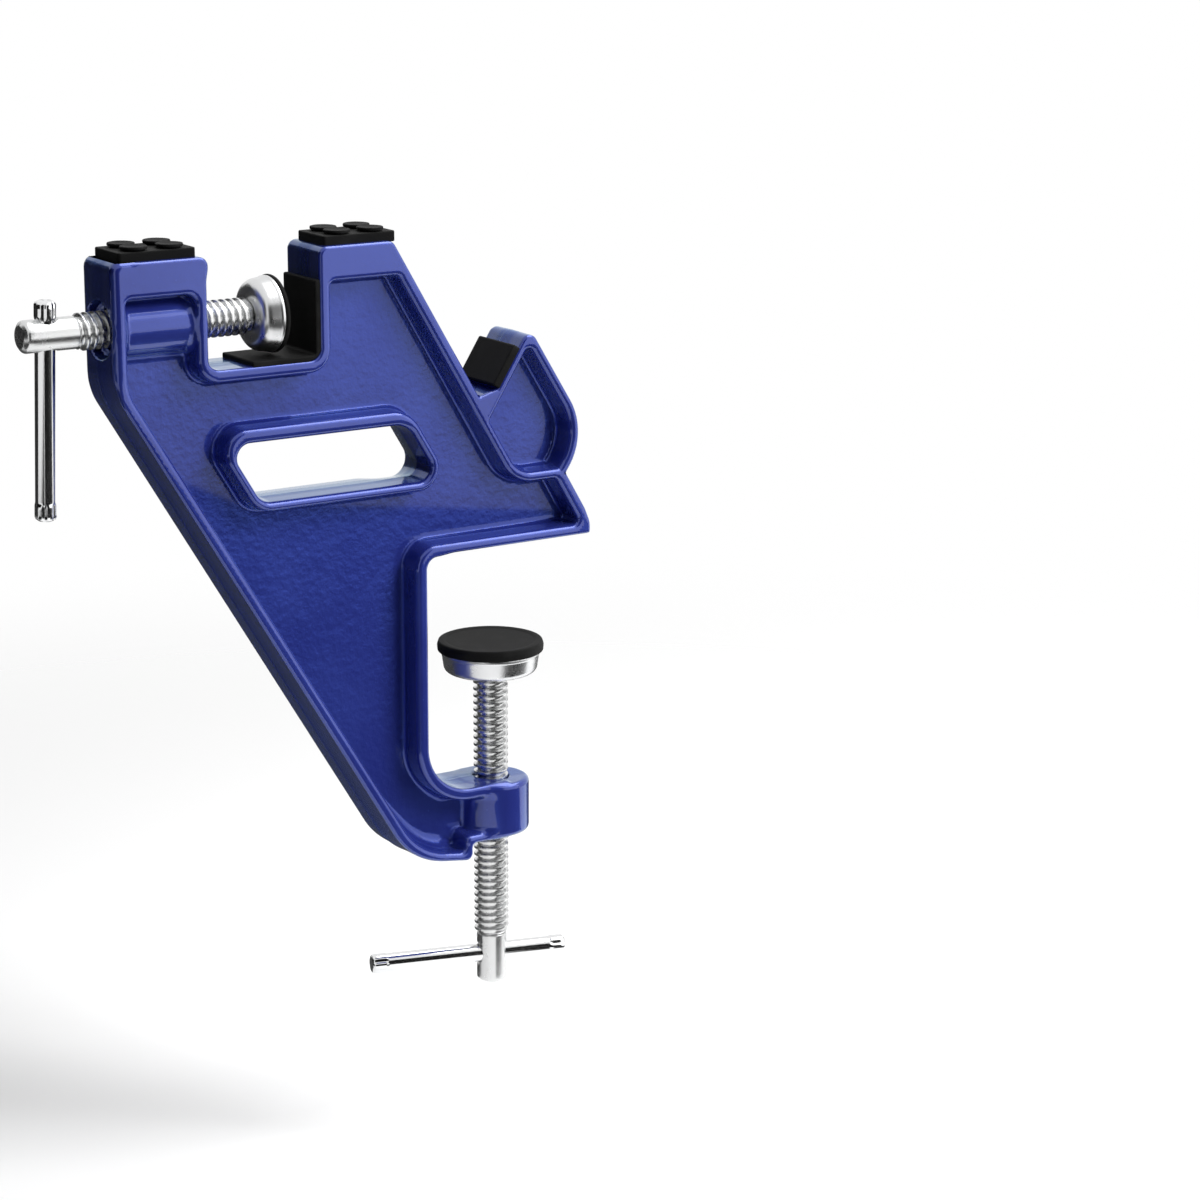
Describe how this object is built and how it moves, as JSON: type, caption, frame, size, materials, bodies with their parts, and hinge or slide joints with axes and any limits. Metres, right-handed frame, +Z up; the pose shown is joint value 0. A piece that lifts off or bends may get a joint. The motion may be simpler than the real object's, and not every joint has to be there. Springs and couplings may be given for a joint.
{
  "type": "ski vise",
  "caption": "Cast clamp-on ski vise with a screw jaw, a padded V-notch, studded rubber rests, a hand slot and a bench clamping screw.",
  "frame": {"origin": "on the bench screw's axis, at the bench seat that rests on the bench top, in the middle of the casting's depth", "axes": "+X from the jaw screw's handle towards the toe of the seat, +Y to the back, +Z up"},
  "size_m": [0.2036, 0.0368, 0.2713],
  "materials": {
    "paint": "glossy blue powder coat over the cast skin",
    "rubber": "matt black moulded rubber",
    "zinc": "bright zinc plate",
    "chrome": "polished plate",
    "spring_steel": "oiled spring steel"
  },
  "bodies": {
    "frame": {"cast_frame": "paint", "left_top_pad": "rubber", "right_top_pad": "rubber", "jaw_pad": "rubber", "notch_pad": "rubber"},
    "jaw_foot": {"jaw_cup": "chrome", "jaw_rubber": "rubber"},
    "jaw_spindle": {"jaw_screw": "zinc", "jaw_washer": "zinc", "jaw_clip": "spring_steel"},
    "jaw_handle": {"jaw_bar": "chrome"},
    "bench_foot": {"bench_cup": "chrome", "bench_rubber": "rubber"},
    "bench_spindle": {"bench_screw": "zinc", "bench_washer": "zinc", "bench_clip": "spring_steel"},
    "bench_handle": {"bench_bar": "chrome"}
  },
  "joints": [
    {"name": "jaw_feed", "type": "slide", "parent": "frame", "child": "jaw_foot", "axis": [1, 0, 0], "range_m": [-0.0193, 0.0094]},
    {"name": "jaw_turn", "type": "hinge", "parent": "jaw_foot", "child": "jaw_spindle", "pos_m": [-0.09075, 0, 0.0853], "axis": [1, 0, 0], "range_deg": [-2772, 1350]},
    {"name": "jaw_bar_slide", "type": "slide", "parent": "jaw_spindle", "child": "jaw_handle", "axis": [0, -0.0819, 0.9966], "range_m": [0, 0.0488]},
    {"name": "bench_feed", "type": "slide", "parent": "frame", "child": "bench_foot", "axis": [0, 0, 1], "range_m": [-0.037, 0.0348]},
    {"name": "bench_turn", "type": "hinge", "parent": "bench_foot", "child": "bench_spindle", "pos_m": [0, 0, -0.0464], "axis": [0, 0, 1], "range_deg": [-5310, 5004]},
    {"name": "bench_bar_slide", "type": "slide", "parent": "bench_spindle", "child": "bench_handle", "axis": [0.9613, -0.2756, 0], "range_m": [-0.0158, 0.033]}
  ],
  "couplings": [
    {"joint": "jaw_feed", "follows": "jaw_turn", "m_per_rad": 0.00039789},
    {"joint": "bench_feed", "follows": "bench_turn", "m_per_rad": 0.00039789}
  ]
}
